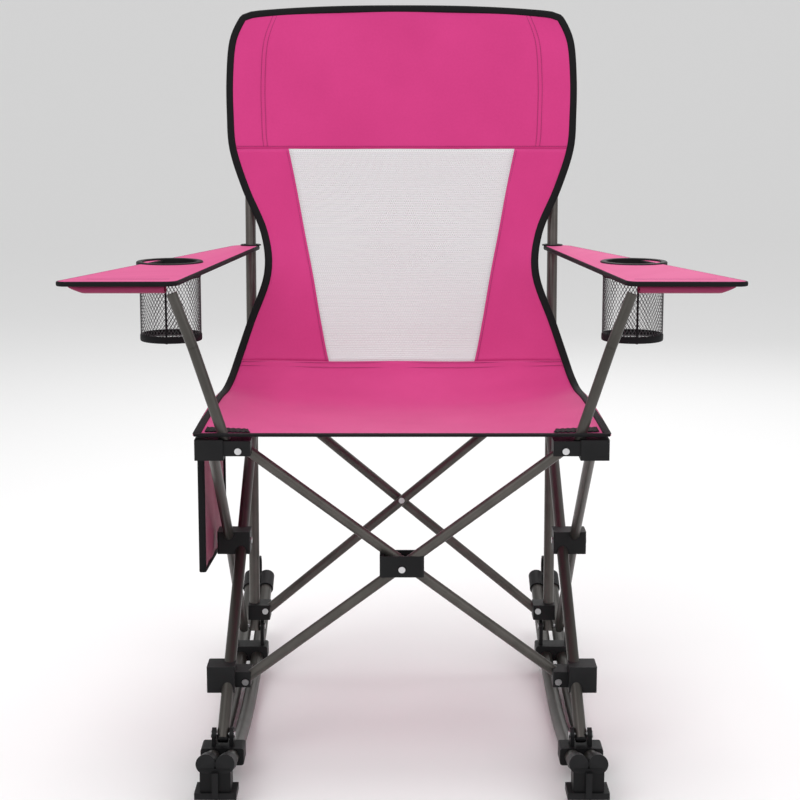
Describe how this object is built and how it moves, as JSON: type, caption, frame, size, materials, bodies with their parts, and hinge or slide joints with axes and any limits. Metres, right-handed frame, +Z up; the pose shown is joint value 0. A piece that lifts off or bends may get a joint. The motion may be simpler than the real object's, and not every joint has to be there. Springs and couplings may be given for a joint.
{
  "type": "camp rocking chair",
  "caption": "Folding camp rocking chair with a fabric sling seat, curved double-rail rockers, crossed steel tubes, fabric arms with mesh cup holders and a side pouch.",
  "frame": {"origin": "on the ground under the middle of the chair's bounding box", "axes": "+Z up, -Y towards the chair's front, X across the seat"},
  "size_m": [0.984, 0.881, 1.151],
  "materials": {
    "frame_steel": "satin powder coat, dark bronze grey",
    "rivet_steel": "bright zinc plate",
    "black_plastic": "fine moulded texture",
    "sling_fabric": "pink coated polyester weave",
    "white_mesh": "open white polyester mesh",
    "cup_net": "open black net"
  },
  "bodies": {
    "root": {"arm_post_left": "frame_steel", "arm_post_right": "frame_steel", "armrest_panel_left": "sling_fabric", "armrest_panel_right": "sling_fabric", "back_side_left": "sling_fabric", "back_side_right": "sling_fabric", "back_upright_left": "frame_steel", "back_upright_right": "frame_steel", "brace_tube_left": "frame_steel", "brace_tube_right": "frame_steel", "corner_bracket_left": "black_plastic", "corner_bracket_right": "black_plastic", "cup_mesh_left": "cup_net", "cup_mesh_right": "cup_net", "cup_ring_left": "black_plastic", "cup_ring_right": "black_plastic", "front_cross_hub": "black_plastic", "front_cross_rivets": "rivet_steel", "front_cross_tube_a": "frame_steel", "front_cross_tube_b": "frame_steel", "front_leg_tube_left": "frame_steel", "front_leg_tube_right": "frame_steel", "front_lower_bracket_left": "black_plastic", "front_lower_bracket_right": "black_plastic", "front_saddle_left": "black_plastic", "front_saddle_right": "black_plastic", "headrest_panel": "sling_fabric", "mesh_window": "white_mesh", "pole_pocket_left": "sling_fabric", "pole_pocket_right": "sling_fabric", "rear_cross_rivets": "rivet_steel", "rear_cross_tube_a": "frame_steel", "rear_cross_tube_b": "frame_steel", "rear_lower_bracket_left": "black_plastic", "rear_lower_bracket_right": "black_plastic", "rear_saddle_left": "black_plastic", "rear_saddle_right": "black_plastic", "rear_upper_bracket_left": "black_plastic", "rear_upper_bracket_right": "black_plastic", "rocker_front_cap_left": "black_plastic", "rocker_front_cap_right": "black_plastic", "rocker_rail_inner_left": "frame_steel", "rocker_rail_inner_right": "frame_steel", "rocker_rail_outer_left": "frame_steel", "rocker_rail_outer_right": "frame_steel", "rocker_rear_cap_left": "black_plastic", "rocker_rear_cap_right": "black_plastic", "saddle_pins": "rivet_steel", "seat_panel": "sling_fabric", "side_hub_left": "black_plastic", "side_hub_right": "black_plastic", "side_hub_rivets": "rivet_steel", "side_pouch": "sling_fabric"}
  },
  "joints": []
}
